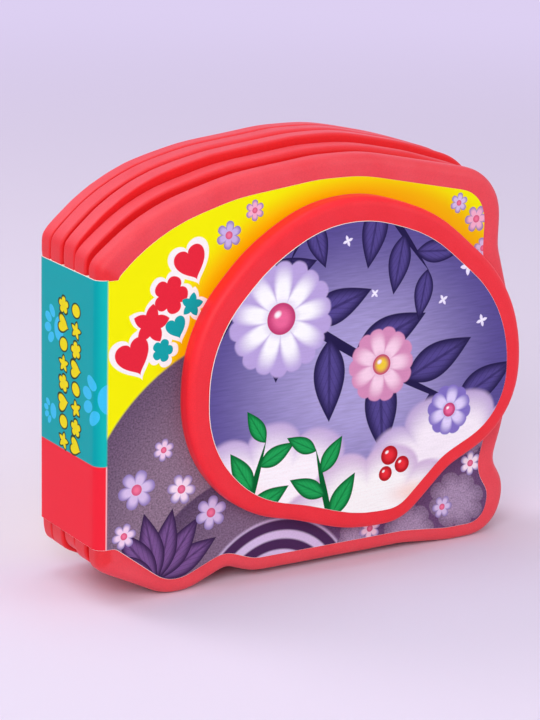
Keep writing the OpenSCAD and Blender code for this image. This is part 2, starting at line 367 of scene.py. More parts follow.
def softRing(outline, inward, inset, depth, seed, share):
    hollow = np.zeros(len(outline))
    if share > 0:
        level = float(np.mean(depth))
        lift = np.array([unevenness((x, level, z), seed) for x, z in outline])
        hollow = np.clip(lift + foam["uneven"] * foam["unevenInward"] * mm, 0, None) * share
    ring = outline + inward * (inset + hollow)[:, None]
    return np.column_stack([ring[:, 0], depth, ring[:, 1]])


def shrunk(outline, distance):  # a wide step inside the outline, smoothed on its way
    steps = round(distance / foam["rimStep"])
    for _ in range(steps):
        outline = outline + inwardFrom(outline) * distance * mm / steps
        for _ in range(foam["rimSoften"]):
            outline = smoothed(outline)
    return outline


def softRamp(values, ends):
    share = ramp(values, *ends)
    return share ** 2 * (3 - 2 * share)


def leafRings(outline, front, thickness, sides, seed):
    inward = inwardFrom(outline)
    run = (outline[:, 0] + halfWidth) / mm
    grown = softRamp(run, foam["spineReach"])
    angles = np.linspace(0, pi / 2, foam["edgeSteps"] + 1)
    # painted shade: the cut ends beside the spine take the deeper red, in place of the shade they lie in
    cutEndShade = foam["endShadeShare"] * ramp(run, foam["tuckReach"], 0) * np.clip(inward[:, 0], 0, 1) ** 3
    rings, shadeShares = [], []
    for side, face, way in ((sides[0], front, 1), (sides[1], front + thickness, -1)):
        edge, back, left, shadeAtFace, shadeAtWall = foam[side]
        start = face + way * back * mm
        radius = max(edge, foam["leastRadius"]) * mm * (left + (1 - left) * grown)
        turn = [(radius * (1 - cos(a)), radius * (1 - sin(a)), sin(a))
                for a in (angles if edge else angles[-1:])]
        support = foam["support"] * mm
        # each ring's depth under the face, its inset and its share of the wall
        profile = [(radius * 0, radius + support, 0)] + turn + [(radius + support, radius * 0, 1)]
        made = [softRing(outline, inward, inset, start + way * down, seed, part)
                for down, inset, part in profile]
        # painted shade: the deeper red near the face at a gap, and on the pad's wall
        tone = [shadeAtFace * (1 - part ** 2) + shadeAtWall * part ** 2 for _, _, part in profile]
        if back > 0:
            rim = shrunk(outline, foam["rim"])
            made.insert(0, np.column_stack([rim[:, 0], np.full(len(rim), face), rim[:, 1]]))
            tone.insert(0, shadeAtFace)
        rings += made[::way]
        shadeShares += [1 - (1 - level) * (1 - cutEndShade) for level in tone[::way]]
    return rings, shadeShares


def pressed(outline, sag, droop):  # the wrap holds the spine ends in, and the leaves aren't quite alike
    run = (outline[:, 0] + halfWidth) / mm
    overFoot = (outline[:, 1] - wrapFoot) / mm
    overTop = (outline[:, 1] - wrapTop) / mm
    under = ramp(run, foam["tuckReach"], 0) * ramp(overFoot, *foam["underWrap"])
    over = ramp(run, foam["swellReach"], 0) * ramp(overTop, *foam["overWrap"])
    slope = ramp(run, foam["slope"], 0) * ramp(overFoot, 0, -foam["slopeDepth"])
    corner = softRamp(run, foam["crown"]) * softRamp(outline[:, 1] / mm, foam["corner"])
    across = foam["tuck"] * under - foam["swell"] * over
    return outline + np.column_stack([across, -sag * slope - droop * corner]) * mm


def addFoam(name, node, ring, body, material, seed, thickness, rounding, sides, hang=(0, 0)):
    level, points = ring
    outline = pressed(evenOutline(points, foam["step"] * mm, foam["soften"]), *hang)
    rings, shadeShares = leafRings(outline, level - rounding, thickness, sides, seed)
    piece = addPiece(name, loftMesh(name, rings, shadeShares), [material])
    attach(piece, body)
    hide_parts(node)
    return piece


# EVA foam, closed cell, cut and rounded by a hot die: satin skin, fine cells, and a painted deeper red in
# place of the shade in the grooves

foamLook = {
    "leaf": ("#EC4A55", "#E52C38", "#E81C22"),  # surface, its cloudy patches, and the painted red of shade in the grooves and of light on the pad's wall
    "pad": ("#F02C38", "#E81A24", "#FF2430"),
    "cell": 0.28,  # size of the cells, mm, drawn a little coarser than they are
    "cellDepth": 0.05,
    "speckle": 0.045,  # how much lighter or darker a cell is
    "mottle": 6.0,  # size of the cloudy variation
    "mottleShare": 0.35,
    "roughness": 0.5,
    "scatter": 0.12,  # share of light that goes under the skin
    "sheen": 0.12,
    "sheenTint": "#FFC8D0",
}


def foamMaterial(name, reds):
    surface, patches, paintedShadeRed = (colour(red) for red in reds)
    material, tree = newMaterial(name)
    place = addNode(tree, "TexCoord").outputs["Object"]
    cloudy = addNode(tree, "TexNoise", {
        "Vector": place, "Scale": 1 / (foamLook["mottle"] * mm), "Detail": 3.0, "Roughness": 0.55})
    share = addNode(tree, "MapRange", (cloudy, 0.35, 0.7, 0.0, foamLook["mottleShare"]))
    shade = addNode(tree, "Mix", {0: share, 6: surface, 7: patches}, data_type="RGBA").outputs[2]
    # painted light and shade: the mesh's share of the deeper red in the grooves and the brighter red on
    # the pad's wall
    paintedShading = addNode(tree, "Attribute", attribute_name="paintedShading").outputs["Fac"]
    shade = addNode(tree, "Mix", {0: paintedShading, 6: shade, 7: paintedShadeRed}, data_type="RGBA")
    cells = addNode(tree, "TexNoise", {
        "Vector": place, "Scale": 1 / (foamLook["cell"] * mm), "Detail": 2.0})
    lift = foamLook["speckle"]
    speckle = addNode(tree, "MapRange", (cells, 0.3, 0.7, 1 - lift, 1 + lift))
    grained = addNode(tree, "VectorMath", (shade.outputs[2], speckle), operation="MULTIPLY")
    bump = addNode(tree, "Bump", {
        "Strength": 0.25, "Distance": foamLook["cellDepth"] * mm, "Height": cells})
    shader = addNode(tree, "BsdfPrincipled", {
        "Base Color": grained, "Roughness": foamLook["roughness"], "IOR": 1.48, "Specular IOR Level": 0.3,
        "Normal": bump, "Subsurface Weight": foamLook["scatter"], "Subsurface Radius": (1.0, 0.25, 0.2),
        "Subsurface Scale": 1.2 * mm, "Sheen Weight": foamLook["sheen"], "Sheen Roughness": 0.4,
        "Sheen Tint": colour(foamLook["sheenTint"])})
    addNode(tree, "OutputMaterial", (shader,))
    return material


redFoam = foamMaterial("red EVA foam", foamLook["leaf"])
padFoam = foamMaterial("red EVA foam of the pad", foamLook["pad"])


def addAllFoam():
    thick, rounding = foam["thickness"] * mm, foam["rounding"] * mm
    boards = (("front_board_foam", "front_cover_board", "front_cover", ("outer", "open")),
              ("back_board_foam", "back_cover_board", "back_cover", ("tight", "outer")))
    for seed, (name, node, body, sides) in enumerate(boards):
        addFoam(name, node, widestRings(node)[0], body, redFoam, seed, thick, rounding, sides,
                foam["hang"][seed])
    leafSides = (("open", "tight"), ("tight", "open"), ("open", "tight"))
    rings = widestRings("page_block")[::2]  # each leaf has two
    for i, (ring, sides) in enumerate(zip(rings, leafSides)):
        addFoam("inner_leaf_%d" % (i + 1), "page_block", ring, "block", redFoam, i + 3, thick, rounding,
                sides, foam["hang"][i + 2])
    low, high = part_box("raised_pad")
    addFoam("pad_foam", "raised_pad", widestRings("raised_pad")[0], "front_cover", padFoam, 9,
            high.y - low.y, foam["padFace"][0] * mm, ("padFace", "square"))
    report("foam leaves and pad lofted")


addAllFoam()


# Printed sheets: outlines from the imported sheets, bent round the spine and through the gutters

sheets = {
    "thickness": 0.25,
    "step": 0.45,
    "soften": 3,
    "wrapRadius": 2.45,  # outer radius of the wrap at the spine's corners
    "cornerSteps": 10,
    "rowStep": 4.0,
    "spineColumns": 6,
    "gutterSteps": 4,
    "relief": 0.2,  # drop of the small relief cut where the wrap leaves the face
    "reliefReach": (8, 3),  # how far the cut reaches from the spine and below the wrap's top
    "slit": 0.05,  # half the gap inside a spread that is glued shut
    "whiteEdge": 0.1,  # width of the bare paper round a print
    "inkedAbove": 32,  # height from which the cover's ink reaches the cut
    "crease": 1.0,  # distance from the spine within which an upright cut is a crease
    "sharp": 35,  # turn in degrees from which an edge looks sharp
}


def facePath(node, side):  # a sheet's outline from the top of its spine edge round to the foot of it
    mesh = mergedCopy(node)
    bmesh.ops.dissolve_limit(mesh, angle_limit=radians(0.5), verts=mesh.verts, edges=mesh.edges)
    facing = [f for f in mesh.faces if f.normal.y * side > 0.99]
    widest = max(facing, key=lambda f: f.calc_area())
    points = np.array([(v.co.x, v.co.z) for v in widest.verts])
    depth = widest.verts[0].co.y
    mesh.free()
    return clockwise(points), depth


def openPath(points):  # clockwise, starts at the highest point on the edge nearest the spine
    nearest = points[:, 0].min()
    onEdge = [i for i, p in enumerate(points) if p[0] < nearest + 10 * weld]
    top = max(onEdge, key=lambda i: points[i][1])
    turned = np.roll(points, -top, axis=0)
    return evenOutline(turned, sheets["step"] * mm, sheets["soften"], closed=False)


def placePrint(mesh, places):
    layer = mesh.uv_layers.new(name="print")
    for loop in mesh.loops:
        layer.data[loop.index].uv = places[loop.vertex_index]


def bentSheet(name, section, rows, faces, outward, materials, **edges):
    # section: (x, y, u) across the strip; faces: (path, depth, u of a point, column) at its ends
    points, unrolled, polygons = [], [], []

    def addPoint(x, y, z, u):
        points.append((x, y, z))
        unrolled.append((u, z))
        return len(points) - 1

    grid = [[addPoint(x, y, z, u) for z in rows] for x, y, u in section]
    for a, b in zip(grid, grid[1:]):
        for j in range(len(rows) - 1):
            polygons.append((a[j], a[j + 1], b[j + 1], b[j]))
    for path, depth, unroll, column in faces:
        ring = [addPoint(x, depth, z, unroll(x)) for x, z in path[1:-1]]
        loop = [grid[column][-1]] + ring + grid[column][:-1]
        polygons.append(tuple(loop if column == 0 else reversed(loop)))
    mesh = bpy.data.meshes.new(name)
    mesh.from_pydata(points, [], polygons)
    placePrint(mesh, unrolled)
    faceOutward(mesh, outward, len(polygons) - len(faces) if faces else 0)
    return thickSheet(addPiece(name, mesh, materials), **edges)


def bareEdges(mesh, inkedAbove):  # the ink stops short of the cut, but not at creases or a cover's top
    work = bmesh.new()
    work.from_mesh(mesh)
    cut = []
    for edge in work.edges:
        ends = [vertex.co for vertex in edge.verts]
        run = max(end.x for end in ends) + halfWidth
        crease = run < sheets["crease"] * mm and abs(ends[0].z - ends[1].z) > weld
        inked = crease or (run > sheets["wrapRadius"] * mm and ends[0].z > inkedAbove * mm)
        if len({face.material_index for face in edge.link_faces}) == 2 and not inked:
            cut.append(edge)
    bmesh.ops.bevel(work, geom=cut, offset=sheets["whiteEdge"] * mm, offset_type="OFFSET", affect="EDGES",
                    segments=1, profile=0.5, material=1)
    work.to_mesh(mesh)
    work.free()


def thickSheet(piece, inkedAbove=inf):
    solid = piece.modifiers.new("paper", "SOLIDIFY")
    solid.thickness = sheets["thickness"] * mm
    solid.offset = -1
    solid.use_even_offset = True
    solid.material_offset_rim = 1
    graph = bpy.context.evaluated_depsgraph_get()
    made = bpy.data.meshes.new_from_object(piece.evaluated_get(graph))
    piece.modifiers.clear()
    old = piece.data
    piece.data = made
    bpy.data.meshes.remove(old)
    bareEdges(made, inkedAbove)
    for face in made.polygons:
        face.use_smooth = face.material_index == 0
    made.set_sharp_from_angle(angle=radians(sheets["sharp"]))
    return piece


arcSaving = sheets["wrapRadius"] * (2 - pi / 2) * mm  # what a rounded corner saves on a sharp one
spineRows = list(np.linspace(wrapFoot, wrapTop, int((wrapTop - wrapFoot) / (sheets["rowStep"] * mm)) + 1))
wrapLength = backFace - frontFace - 2 * arcSaving  # unrolled, from one cover's face to the other's


# Motif groups: each paints one printed shape over the ink below it

motifInputs = {
    "NodeSocketColor": ("Under", "Rim", "Core"),
    "NodeSocketFloat": ("Across", "Up", "Noise", "Long per across", "Long per up", "Long start",
                        "Wide per across", "Wide per up", "Wide start", "Edge", "Band", "Soft",
                        "Strength", "Grain", "Bend", "Count", "Depth"),
}


def motifDepth(tree, kind, given, x, y):  # how far inside the shape a point lies, 1 at its middle
    square = addNode(tree, "Math", (x, x), operation="MULTIPLY")
    if kind == "leaf":
        square = addNode(tree, "Math", (square, 1.0), operation="MINIMUM")
        width = addNode(tree, "Math", (1.0, square), operation="SUBTRACT")
        taper = addNode(tree, "Math", (x, -0.35, 1.0), operation="MULTIPLY_ADD")
        width = addNode(tree, "Math", (width, taper), operation="MULTIPLY")
        side = addNode(tree, "Math", (y,), operation="ABSOLUTE")
        return addNode(tree, "Math", (width, side), operation="SUBTRACT")
    if kind == "heart":
        root = addNode(tree, "Math", (x,), operation="ABSOLUTE")
        root = addNode(tree, "Math", (root,), operation="SQRT")
        high = addNode(tree, "Math", (y, 1.2, 0.2), operation="MULTIPLY_ADD")
        y = addNode(tree, "Math", (root, -0.75, high), operation="MULTIPLY_ADD")
    far = addNode(tree, "Math", (y, y, square), operation="MULTIPLY_ADD")
    far = addNode(tree, "Math", (far,), operation="SQRT")
    if kind in ("spot", "heart"):
        return addNode(tree, "Math", (1.0, far), operation="SUBTRACT")
    if kind == "arch":
        outer = addNode(tree, "Math", (1.0, far), operation="SUBTRACT")
        inner = addNode(tree, "Math", (far, given["Depth"]), operation="SUBTRACT")
        return addNode(tree, "Math", (outer, inner), operation="MINIMUM")
    swing = addNode(tree, "Math", (y, x), operation="ARCTAN2")
    turn = addNode(tree, "Math", (given["Count"], 1 / (2 * pi)), operation="MULTIPLY")
    for operation, *others in (("MULTIPLY_ADD", turn, 0.5), ("FRACT",), ("MULTIPLY_ADD", 2.0, -1.0),
                               ("ABSOLUTE",),  # 0 in mid petal, 1 between two
                               ("POWER", 1.0 if kind == "star" else 2.6), ("MULTIPLY", given["Depth"])):
        swing = addNode(tree, "Math", (swing, *others), operation=operation)
    reach = addNode(tree, "Math", (1.0, swing), operation="SUBTRACT")
    return addNode(tree, "Math", (reach, far), operation="SUBTRACT")


def archStripe(tree, given, depth):  # 0 at the middle of a stripe and 0.5 at its edges
    width = addNode(tree, "Math", (1.0, given["Depth"]), operation="SUBTRACT")
    for operation, *others in (("DIVIDE", width), ("MULTIPLY", given["Count"]), ("FRACT",),
                               ("SUBTRACT", 0.5), ("ABSOLUTE",)):
        depth = addNode(tree, "Math", (depth, *others), operation=operation)
    return depth


def leafVeins(tree, x, y):  # midrib and side veins, darker than the blade
    side = addNode(tree, "Math", (y,), operation="ABSOLUTE")
    rib = addNode(tree, "MapRange", (side, 0.04, 0.12, 0.45, 1.0))
    slant = side
    for operation, *others in (("MULTIPLY_ADD", -0.9, x), ("MULTIPLY", 3.2), ("FRACT",),
                               ("SUBTRACT", 0.5), ("ABSOLUTE",)):
        slant = addNode(tree, "Math", (slant, *others), operation=operation)
    veins = addNode(tree, "MapRange", (slant, 0.02, 0.16, 0.72, 1.0))
    return addNode(tree, "Math", (rib, veins), operation="MULTIPLY")


def motifGroup(kind):  # only number and colour sockets, so that the whole picture stays a light shader
    tree = bpy.data.node_groups.new("printed " + kind, "ShaderNodeTree")
    for socketType, names in motifInputs.items():
        for name in names:
            tree.interface.new_socket(name, in_out="INPUT", socket_type=socketType)
    tree.interface.new_socket("Over", in_out="OUTPUT", socket_type="NodeSocketColor")
    given = addNode(tree, "NodeGroupInput").outputs
    local = []
    for way in ("Long", "Wide"):
        part = addNode(tree, "Math", (given["Up"], given[way + " per up"], given[way + " start"]),
                       operation="MULTIPLY_ADD")
        local.append(addNode(
            tree, "Math", (given["Across"], given[way + " per across"], part), operation="MULTIPLY_ADD"))
    x, y = local
    square = addNode(tree, "Math", (x, x), operation="MULTIPLY")
    y = addNode(tree, "Math", (square, given["Bend"], y), operation="MULTIPLY_ADD")
    depth = motifDepth(tree, kind, given, x, y)
    mask = addNode(tree, "MapRange", (depth, 0.0, given["Edge"]), interpolation_type="SMOOTHSTEP")
    mask = addNode(tree, "Math", (mask, given["Strength"]), operation="MULTIPLY")
    low, high = (addNode(tree, "Math", (given["Band"], given["Soft"]), operation=way)
                 for way in ("SUBTRACT", "ADD"))
    inside = archStripe(tree, given, depth) if kind == "arch" else depth
    tone = addNode(tree, "MapRange", (inside, low, high), interpolation_type="SMOOTHSTEP")
    if kind == "leaf":
        tone = addNode(tree, "Math", (tone, leafVeins(tree, x, y)), operation="MULTIPLY")
    ink = addNode(tree, "Mix", {0: tone, 6: given["Rim"], 7: given["Core"]}, data_type="RGBA")
    drift = addNode(tree, "Math", (given["Noise"], 0.5), operation="SUBTRACT")
    grain = addNode(tree, "Math", (drift, given["Grain"], 1.0), operation="MULTIPLY_ADD")
    ink = addNode(tree, "HueSaturation", {"Value": grain, "Color": ink.outputs[2]})
    over = addNode(tree, "Mix", {0: mask, 6: given["Under"], 7: ink}, data_type="RGBA")
    addNode(tree, "NodeGroupOutput", (over.outputs[2],))
    return tree


motifs = {kind: motifGroup(kind) for kind in ("spot", "leaf", "bloom", "star", "heart", "arch")}


def motif(kind, x, z, length, width, rim, core, turn=0, **other):  # half sizes and places in mm
    values = {"Edge": 0.05, "Band": 0.5, "Soft": 0.5, "Strength": 1.0, "Grain": 0.1, "Bend": 0.0,
              "Count": 5.0, "Depth": 0.2, **other}
    a = radians(turn)
    for way, across, up, size in (("Long", cos(a), sin(a), length), ("Wide", -sin(a), cos(a), width)):
        values[way + " per across"] = across / size
        values[way + " per up"] = up / size
        values[way + " start"] = -(x * across + z * up) / size
    values.update({"Rim": colour(rim), "Core": colour(core)})
    return kind, values


def paintMotifs(tree, under, place, noiseValue, layers):
    split = addNode(tree, "SeparateXYZ", (place,))
    fixed = {"Across": split.outputs["X"], "Up": split.outputs["Y"], "Noise": noiseValue}
    for kind, values in layers:
        inputs = {**values, **fixed, "Under": under}
        under = addNode(tree, "Group", inputs, node_tree=motifs[kind]).outputs["Over"]
    return under


# Offset print on art paper under a soft-touch laminate: saturated inks, weak broad highlight, fine grain

printLook = {
    "roughness": 0.34,
    "grain": 0.42,  # size of the printed grain, mm, drawn coarse enough to show
    "gloss": 0.06,  # a soft-touch laminate mirrors little
    "streak": (0.45, 5.0),  # width and length of the soft brush streaks, mm
    "waves": 0.09,  # gentle waves of the paper in each mm, and their height in mm
    "waveHeight": 0.12,
}


def printBase(name):
    material, tree = newMaterial(name)
    flat = addNode(tree, "UVMap", uv_map="print")
    place = addNode(tree, "Mapping", {"Vector": flat, "Scale": (1000, 1000, 0)}).outputs[0]
    grain = addNode(tree, "TexNoise", {"Vector": place, "Scale": 1 / printLook["grain"], "Detail": 1.0})
    return material, tree, place, grain.outputs[0]


def brushed(tree, place, ink, depth, turn):  # soft strokes, lighter and darker by the given share
    wide, long = printLook["streak"]
    brush = addNode(tree, "Mapping", {
        "Vector": place, "Rotation": (0, 0, radians(turn)), "Scale": (1 / long, 1 / wide, 1)})
    strokes = addNode(tree, "TexNoise", {"Vector": brush, "Scale": 1.0, "Detail": 2.0})
    tint = addNode(tree, "MapRange", (strokes, 0.3, 0.7, 1 - depth, 1 + depth))
    return addNode(tree, "HueSaturation", {"Value": tint, "Color": ink}).outputs[0]


def finishPrint(tree, place, ink):
    wave = addNode(tree, "TexNoise", {"Vector": place, "Scale": printLook["waves"], "Detail": 1.0})
    bump = addNode(tree, "Bump", {
        "Strength": 0.3, "Distance": printLook["waveHeight"] * mm, "Height": wave})
    shader = addNode(tree, "BsdfPrincipled", {
        "Base Color": ink, "Roughness": printLook["roughness"], "IOR": 1.5,
        "Specular IOR Level": printLook["gloss"], "Normal": bump})
    addNode(tree, "OutputMaterial", (shader,))


def farFrom(tree, place, centre, reach):  # distance from a centre, as a share of the reach each way
    local = addNode(tree, "Mapping", {
        "Vector": place, "Location": (*centre, 0), "Scale": (*reach, 1)}, vector_type="TEXTURE")
    return addNode(tree, "VectorMath", (local,), operation="LENGTH").outputs["Value"]


def inksMeet(tree, place, axis, edge, soft, first, second):  # one ink below the edge and one above it
    split = addNode(tree, "SeparateXYZ", (place,))
    share = addNode(tree, "MapRange", (split.outputs[axis], edge - soft, edge + soft))
    return addNode(tree, "Mix", {0: share, 6: first, 7: second}, data_type="RGBA").outputs[2]


# Print on the wrap: yellow cover with a generic garden, and a teal and red spine

wrapPrint = {  # colours, and sizes in mm
    "yellow": "#F6F400",
    "orange": "#F7BE00",
    "teal": "#00A6AB",
    "tealCornerHighlight": "#12BDB6",  # painted highlight: a paler teal where the paper turns round the corner to the cover's face
    "tealMeet": 0.4,  # how far past the middle of the rounded corner the teal and its painted highlight meet
    "tealSoft": 1.3,
    "red": "#F4283A",
    "wornHighlight": "#FFD8DC",  # painted highlight down the front fold of the red band, with paper showing through where it is worn
    "wornHighlightWide": (-0.25, 0.05),  # where it starts and ends, from the fold
    "wornHighlightShare": 0.7,
    "wornHighlightSoft": 0.08,
    "bandTop": 31.7,  # height of the red band on the spine
    "bandSoft": 0.12,
    "foldSoft": 0.22,
    "foldBack": 0.1,  # how far before the end of the rounded corner the cover's print starts
    "padCentre": (63.5, 47.0),
    "padReach": (45.0, 39.5),
    "glow": (1.13, 0.97),  # where the orange round the pad starts and is full, as shares of that reach
    "backFade": (5.0, 85.0),  # heights between which the back runs from orange to yellow
    "shapeRim": "#243A1E",
    "shape": "#F2E000",
    "shapeColumns": (15.6, 9.9),  # the spine's rows of shapes, from the cover's face
    "shapeFoot": 33.6,
    "shapeStep": 4.3,
    "shapeCount": 8,
    "paw": "#3CC4F0",
    "paws": ((-1.9, 46.5, 3.3, 96), (17.8, 58.0, 2.6, 84), (20.4, 39.0, 1.7, 100)),  # place, size, turn
}


def pawPrint(x, z, size, turn):
    ink = wrapPrint["paw"]
    marks = [motif("spot", x, z, 1.05 * size, 0.85 * size, ink, ink, turn)]
    for angle, reach in ((50, 1.75), (78, 2.0), (104, 2.0), (132, 1.75)):
        a = radians(angle + turn)
        marks.append(motif("spot", x + reach * size * cos(a), z + reach * size * sin(a),
                           0.62 * size, 0.42 * size, ink, ink, angle + turn))
    return marks


def notchDepth(kind):
    return 0.42 if kind == "star" else 0.3


def spineLayers():
    layers = []
    for y, z, size, turn in wrapPrint["paws"]:
        layers += pawPrint(arcSaving / mm - y, z, size, turn)
    kinds = ("star", "spot", "heart", "bloom")
    for column, y in enumerate(wrapPrint["shapeColumns"]):
        for i in range(wrapPrint["shapeCount"]):
            kind = kinds[(i + 2 * column) % len(kinds)]
            long, wide = (2.35, 2.75) if kind != "spot" else (1.8, 2.2)
            z = wrapPrint["shapeFoot"] + wrapPrint["shapeStep"] * i
            layers.append(motif(kind, arcSaving / mm - y, z, long, wide, wrapPrint["shapeRim"],
                                wrapPrint["shape"], 90 + 12 * (i % 3 - 1), Band=0.22, Soft=0.05,
                                Depth=notchDepth(kind)))
    return layers


def blossom(x, z, size, core):
    return [
        motif("bloom", x, z, size, size, "#8F7BB8", core, 20 * x, Count=6, Depth=0.4, Band=0.2, Soft=0.2),
        motif("spot", x, z, size * 0.28, size * 0.28, "#D8557E", "#F2799B", Band=0.4),
    ]


def frontLayers():
    white, red, teal = "#FBF7F4", "#E8283C", "#12A5A8"
    mauve, grey = "#846C8A", "#A890AE"
    lilac, rose, blush, pink = "#D9C4E8", "#F5B4CC", "#F6D5E6", "#F3D6EC"
    hills = (  # grainy mauve
        (38.0, 11.0, 44.0, 47.0, "#66506A", "#8C7488", 0, 0.015, 1.4, 0.25),
        (46.0, 2.0, 34.0, 24.0, "#584260", "#7E6680", -8, 0.02, 1.3, 0.25),
        (84.0, -2.0, 46.0, 34.0, "#4A3054", "#6A4A72", 0, 0.02, 0.9, 0.3))
    layers = [motif("spot", *form, Edge=edge, Grain=grain, Band=0.2, Soft=soft)
              for *form, edge, grain, soft in hills]
    layers.append(motif("arch", 45.0, -7.0, 21.0, 21.0, "#4A2A55", lilac, Depth=0.15, Count=4, Band=0.28,
                        Soft=0.07, Grain=0.25))  # a striped knoll
    for x, z, size in ((66, 4, 6.5), (81, 5, 8.0), (94, 10, 8.5), (97, 25, 6.0)):  # bushes
        layers.append(motif("bloom", x, z, size, size * 0.8, mauve, grey, 15 * x, Count=8, Depth=0.16,
                            Edge=0.05, Grain=1.2, Band=0.3, Soft=0.3))
    for i in range(6):  # a fan of dark leaves
        turn = 28 + 25 * i
        a = radians(turn)
        layers.append(motif("leaf", 15.0 + 8.5 * cos(a), 4.0 + 8.5 * sin(a), 8.0, 3.0, "#301B42",
                            "#7A5590", turn, Band=0.3, Soft=0.35, Grain=0.3))
    blossoms = (
        (9.5, 25.5, 4.6, lilac), (20.5, 24.0, 3.6, "#F7E3F2"), (28.0, 17.5, 4.0, lilac),
        (6.5, 15.5, 3.0, pink), (16.0, 33.5, 2.6, pink), (70.0, 7.0, 3.0, blush), (90.0, 9.0, 2.8, lilac),
        (97.5, 18.5, 3.0, "#FBEAF4"), (96.0, 76.5, 3.2, rose), (91.0, 80.6, 2.4, lilac),
        (98.2, 69.5, 2.6, lilac), (31.2, 79.0, 3.2, "#C9B8E8"), (37.5, 83.8, 2.4, rose))
    for x, z, size, core in blossoms:
        layers += blossom(x, z, size, core)
    # the rows of hearts, stars and blossoms across the yellow corner, on one white outline
    big = (("heart", 8.7, 54.6, 4.2, 22), ("star", 12.6, 61.6, 4.6, 12), ("bloom", 17.2, 67.4, 4.3, 0),
           ("heart", 22.2, 73.6, 3.9, 22))
    small = (("bloom", 15.4, 55.6, 2.6, 0), ("heart", 18.8, 60.0, 2.5, 20), ("star", 22.4, 64.8, 2.8, 8))
    for outline in (1.3, 0):
        for row, ink in ((big, red), (small, teal)):
            for kind, x, z, size, turn in row:
                ink = white if outline else ink
                layers.append(motif(
                    kind, x, z, size + outline, size + outline, ink, ink, turn, Depth=notchDepth(kind)))
    return layers


def wrapMaterial():
    material, tree, place, grain = printBase("soft-touch laminated cover print")
    inks = wrapPrint
    yellow, orange, red, teal, tealCornerHighlight, wornHighlight = (colour(inks[name]) for name in (
        "yellow", "orange", "red", "teal", "tealCornerHighlight", "wornHighlight"))
    far = farFrom(tree, place, inks["padCentre"], inks["padReach"])
    glow = addNode(tree, "MapRange", (far, *inks["glow"]), interpolation_type="SMOOTHSTEP")
    ink = addNode(tree, "Mix", {0: glow, 6: yellow, 7: orange}, data_type="RGBA").outputs[2]
    ink = paintMotifs(tree, ink, place, grain, frontLayers())
    fold = sheets["wrapRadius"] - inks["foldBack"]  # the cover's face starts here, unrolled
    flat = sheets["wrapRadius"] * (1 - pi / 2)  # and the spine's flat face here
    meet = (flat + fold) / 2 + inks["tealMeet"]
    # painted highlight: the teal turns paler across the rounded corner
    teal = inksMeet(tree, place, "X", meet, inks["tealSoft"], teal, tealCornerHighlight)
    spineInk = inksMeet(tree, place, "Y", inks["bandTop"], inks["bandSoft"], red, teal)
    spineInk = paintMotifs(tree, spineInk, place, grain, spineLayers())
    ink = inksMeet(tree, place, "X", fold, inks["foldSoft"], spineInk, ink)
    up = addNode(tree, "SeparateXYZ", (place,)).outputs["Y"]
    rise = addNode(tree, "MapRange", (up, *inks["backFade"]))
    backInk = addNode(tree, "Mix", {0: rise, 6: orange, 7: yellow}, data_type="RGBA").outputs[2]
    ink = inksMeet(tree, place, "X", -wrapLength / mm - fold, inks["bandSoft"], backInk, ink)
    # painted highlight with some wear: a pale line down the red band at the front fold
    inBand = addNode(tree, "MapRange", (
        up, inks["bandTop"] + 0.3, inks["bandTop"] - 0.3, 0, inks["wornHighlightShare"]))
    paper = addNode(tree, "Mix", {0: inBand, 6: ink, 7: wornHighlight}, data_type="RGBA").outputs[2]
    start, end = inks["wornHighlightWide"]
    paper = inksMeet(tree, place, "X", fold + end, inks["wornHighlightSoft"], paper, ink)
    finishPrint(tree, place, inksMeet(tree, place, "X", fold + start, inks["wornHighlightSoft"], ink, paper))
    return material


# Uncoated paper core at a sheet's cut edge: matt, warm white

paperLook = {
    "core": ("#F7F2EA", "#E6DCD4"),
    "page": ("#F7F1E8", "#EFE6DC"),
    "fibre": 0.3,  # size of the mottled fibres, mm
}


def paperCore():
    material, tree = newMaterial("white paper core")
    place = addNode(tree, "TexCoord").outputs["Object"]
    fibre = addNode(tree, "TexNoise", {
        "Vector": place, "Scale": 1 / (paperLook["fibre"] * mm), "Detail": 2.0})
    pale, dull = (colour(tone) for tone in paperLook["core"])
    ink = addNode(tree, "Mix", {0: fibre, 6: pale, 7: dull}, data_type="RGBA").outputs[2]
    shader = addNode(tree, "BsdfPrincipled", {"Base Color": ink, "Roughness": 0.8})
    addNode(tree, "OutputMaterial", (shader,))
    return material


# Inner pages: the same laminated paper, plain cream

def pageMaterial():
    material, tree, place, grain = printBase("soft-touch laminated page print")
    pale, dull = (colour(tone) for tone in paperLook["page"])
    ink = addNode(tree, "Mix", {0: grain, 6: pale, 7: dull}, data_type="RGBA").outputs[2]
    finishPrint(tree, place, ink)
    return material


# Print on the pad: lavender sky, a leafy twig, flowers and pale hills

padLook = {  # places and sizes in mm
    "skyCentre": (62.0, 44.0),
    "skyReach": (42.0, 38.0),
    "skyFade": (0.15, 1.0),  # shares of that reach between which the sky turns from one ink to the other
    "sky": ("#ADA2D4", "#584C90"),
    "skyStrokes": (0.09, -62),  # depth and turn of the brush strokes, in the sky and over the picture
    "lastStrokes": (0.035, 20),
    "branch": (62.0, 50.0, 44.0, -31),  # middle, half length and turn
    "branchLeaves": 11,
    "indigo": ("#231A48", "#54478C"),
    "green": ("#00602C", "#1FA656"),
}


def sprig(x, z, turn, length, count, size, rim, core):
    a = radians(turn)
    layers = [motif("leaf", x + length / 2 * cos(a), z + length / 2 * sin(a), length / 2, 0.8, rim, rim,
                    turn, Soft=0.1)]
    for i in range(count):
        share = (i + 0.8) / count
        angle = turn + (48 if i % 2 else -48)
        b = radians(angle)
        reach = size * (1.15 - 0.35 * share)
        layers.append(motif("leaf", x + length * share * cos(a) + reach * cos(b),
                            z + length * share * sin(a) + reach * sin(b), reach, reach * 0.42, rim, core,
                            angle, Band=0.3, Soft=0.3))
    return layers


